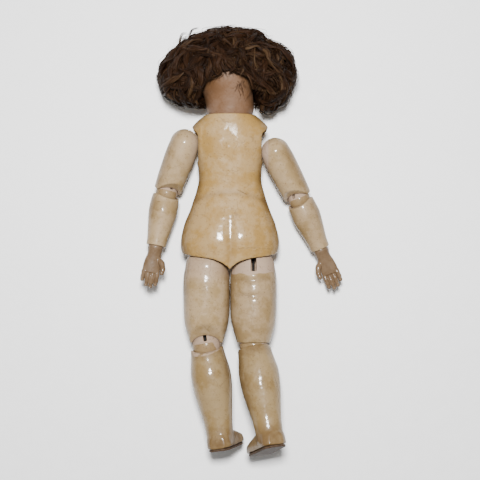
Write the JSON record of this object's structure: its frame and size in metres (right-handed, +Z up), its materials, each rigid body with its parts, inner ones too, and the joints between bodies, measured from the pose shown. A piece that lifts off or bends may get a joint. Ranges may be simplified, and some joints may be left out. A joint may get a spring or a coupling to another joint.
{
  "type": "strung papier-mache doll",
  "caption": "Strung doll with papier-mache body and limbs, loose ball elbows and knees, ball wrists, a turning head and a short curly wig, lying face down.",
  "frame": {"origin": "centre of the doll's outline on the table it lies on", "axes": "+X to the doll's right, +Y towards its head, +Z up, out of its back"},
  "size_m": [0.2834, 0.599, 0.1289],
  "materials": {
    "torso_varnish": "aged yellow varnish",
    "limb_varnish": "aged flesh varnish",
    "face_paint": "painted flesh",
    "ball_paint": "worn priming coat",
    "sole_board": "worn board",
    "brown_hair": "glossy curls",
    "cap_cloth": "plain woven",
    "pate_board": "raw board",
    "eye_glass": "polished",
    "plug_wood": "turned",
    "hook_steel": "dull wire",
    "elastic_rubber": "cloth covered"
  },
  "bodies": {
    "torso": {"torso_back": "torso_varnish", "torso_front": "torso_varnish", "arm_elastic": "elastic_rubber", "leg_elastic": "elastic_rubber"},
    "neck": {"neck_plug": "plug_wood", "neck_hook": "hook_steel", "neck_spring": "hook_steel", "neck_nut": "hook_steel"},
    "head": {"head_shell": "face_paint", "pate": "pate_board", "wig_cap": "cap_cloth", "wig_hair": "brown_hair", "left_eye": "eye_glass", "right_eye": "eye_glass"},
    "left_shoulder": {"left_shoulder_elastic": "elastic_rubber"},
    "left_upper_arm": {"left_upper_arm": "limb_varnish", "left_upper_arm_elastic": "elastic_rubber"},
    "left_elbow_ball": {"left_elbow_ball": "ball_paint", "left_elbow_ball_elastic": "elastic_rubber"},
    "left_forearm": {"left_forearm": "limb_varnish", "left_forearm_elastic": "elastic_rubber"},
    "left_hand": {"left_hand": "limb_varnish", "left_hand_hook": "hook_steel"},
    "left_hip": {"left_hip_elastic": "elastic_rubber"},
    "left_thigh": {"left_thigh": "limb_varnish", "left_thigh_elastic": "elastic_rubber"},
    "left_knee_ball": {"left_knee_ball": "ball_paint", "left_knee_ball_elastic": "elastic_rubber"},
    "left_shin": {"left_shin": "limb_varnish", "left_sole": "sole_board", "left_shin_peg": "plug_wood", "left_shin_elastic": "elastic_rubber"},
    "right_shoulder": {"right_shoulder_elastic": "elastic_rubber"},
    "right_upper_arm": {"right_upper_arm": "limb_varnish", "right_upper_arm_elastic": "elastic_rubber"},
    "right_elbow_ball": {"right_elbow_ball": "ball_paint", "right_elbow_ball_elastic": "elastic_rubber"},
    "right_forearm": {"right_forearm": "limb_varnish", "right_forearm_elastic": "elastic_rubber"},
    "right_hand": {"right_hand": "limb_varnish", "right_hand_hook": "hook_steel"},
    "right_hip": {"right_hip_elastic": "elastic_rubber"},
    "right_thigh": {"right_thigh": "limb_varnish", "right_thigh_elastic": "elastic_rubber"},
    "right_knee_ball": {"right_knee_ball": "ball_paint", "right_knee_ball_elastic": "elastic_rubber"},
    "right_shin": {"right_shin": "limb_varnish", "right_sole": "sole_board", "right_shin_peg": "plug_wood", "right_shin_elastic": "elastic_rubber"}
  },
  "joints": [
    {"name": "head_nod", "type": "hinge", "parent": "torso", "child": "neck", "pos_m": [-0.01669, 0.18962, 0.05307], "axis": [0.9936, 0.1132, 0], "range_deg": [-10, 10], "deforming": ["leg_elastic"]},
    {"name": "head_turn", "type": "hinge", "parent": "neck", "child": "head", "pos_m": [-0.01669, 0.18962, 0.05307], "axis": [-0.1124, 0.9862, 0.1219], "range_deg": [-45, 45]},
    {"name": "left_shoulder_swing", "type": "hinge", "parent": "torso", "child": "left_shoulder", "pos_m": [-0.08019, 0.13762, 0.05307], "axis": [1, 0, 0], "range_deg": [-60, 90]},
    {"name": "left_shoulder_lift", "type": "hinge", "parent": "left_shoulder", "child": "left_upper_arm", "pos_m": [-0.08019, 0.13762, 0.05307], "axis": [0, 0.2079, -0.9781], "range_deg": [-6, 65]},
    {"name": "left_elbow_bend", "type": "hinge", "parent": "left_upper_arm", "child": "left_elbow_ball", "pos_m": [-0.10646, 0.0689, 0.03846], "axis": [-0.8419, 0.2167, 0.4942], "range_deg": [-20, 45]},
    {"name": "left_forearm_turn", "type": "hinge", "parent": "left_elbow_ball", "child": "left_forearm", "pos_m": [-0.10646, 0.0689, 0.03846], "axis": [-0.1887, -0.9762, 0.1068], "range_deg": [-60, 15]},
    {"name": "left_wrist_turn", "type": "hinge", "parent": "left_forearm", "child": "left_hand", "pos_m": [-0.12136, -0.00822, 0.04689], "axis": [-0.1887, -0.9762, 0.1068], "range_deg": [-90, 90]},
    {"name": "left_hip_swing", "type": "hinge", "parent": "torso", "child": "left_hip", "pos_m": [-0.04949, -0.03638, 0.05307], "axis": [1, 0, 0], "range_deg": [-10, 75]},
    {"name": "left_hip_turn", "type": "hinge", "parent": "left_hip", "child": "left_thigh", "pos_m": [-0.04949, -0.03638, 0.05307], "axis": [0, -0.9981, 0.0611], "range_deg": [-30, 22]},
    {"name": "left_knee_bend", "type": "hinge", "parent": "left_thigh", "child": "left_knee_ball", "pos_m": [-0.04949, -0.14418, 0.05966], "axis": [-1, 0, 0], "range_deg": [-15, 40]},
    {"name": "left_shin_turn", "type": "hinge", "parent": "left_knee_ball", "child": "left_shin", "pos_m": [-0.04949, -0.14418, 0.05966], "axis": [0.1563, -0.9831, 0.0951], "range_deg": [-20, 10]},
    {"name": "right_shoulder_swing", "type": "hinge", "parent": "torso", "child": "right_shoulder", "pos_m": [0.04681, 0.12562, 0.05307], "axis": [1, 0, 0], "range_deg": [-60, 90]},
    {"name": "right_shoulder_lift", "type": "hinge", "parent": "right_shoulder", "child": "right_upper_arm", "pos_m": [0.04681, 0.12562, 0.05307], "axis": [0, -0.2079, 0.9781], "range_deg": [-8, 60]},
    {"name": "right_elbow_bend", "type": "hinge", "parent": "right_upper_arm", "child": "right_elbow_ball", "pos_m": [0.08086, 0.06025, 0.03917], "axis": [-0.8008, -0.308, -0.5136], "range_deg": [-8, 57]},
    {"name": "right_forearm_turn", "type": "hinge", "parent": "right_elbow_ball", "child": "right_forearm", "pos_m": [0.08086, 0.06025, 0.03917], "axis": [-0.3952, 0.9162, 0.0669], "range_deg": [-60, 15]},
    {"name": "right_wrist_turn", "type": "hinge", "parent": "right_forearm", "child": "right_hand", "pos_m": [0.11208, -0.01212, 0.03389], "axis": [-0.3952, 0.9162, 0.0669], "range_deg": [-90, 90]},
    {"name": "right_hip_swing", "type": "hinge", "parent": "torso", "child": "right_hip", "pos_m": [0.01611, -0.03638, 0.05307], "axis": [1, 0, 0], "range_deg": [-6, 75]},
    {"name": "right_hip_turn", "type": "hinge", "parent": "right_hip", "child": "right_thigh", "pos_m": [0.01611, -0.03638, 0.05307], "axis": [0, 0.9962, -0.0872], "range_deg": [-30, 30]},
    {"name": "right_knee_bend", "type": "hinge", "parent": "right_thigh", "child": "right_knee_ball", "pos_m": [0.01611, -0.14397, 0.06248], "axis": [1, 0, 0], "range_deg": [-4, 50]},
    {"name": "right_shin_turn", "type": "hinge", "parent": "right_knee_ball", "child": "right_shin", "pos_m": [0.01611, -0.14397, 0.06248], "axis": [-0.1692, 0.9363, -0.3077], "range_deg": [-20, 10]}
  ]
}
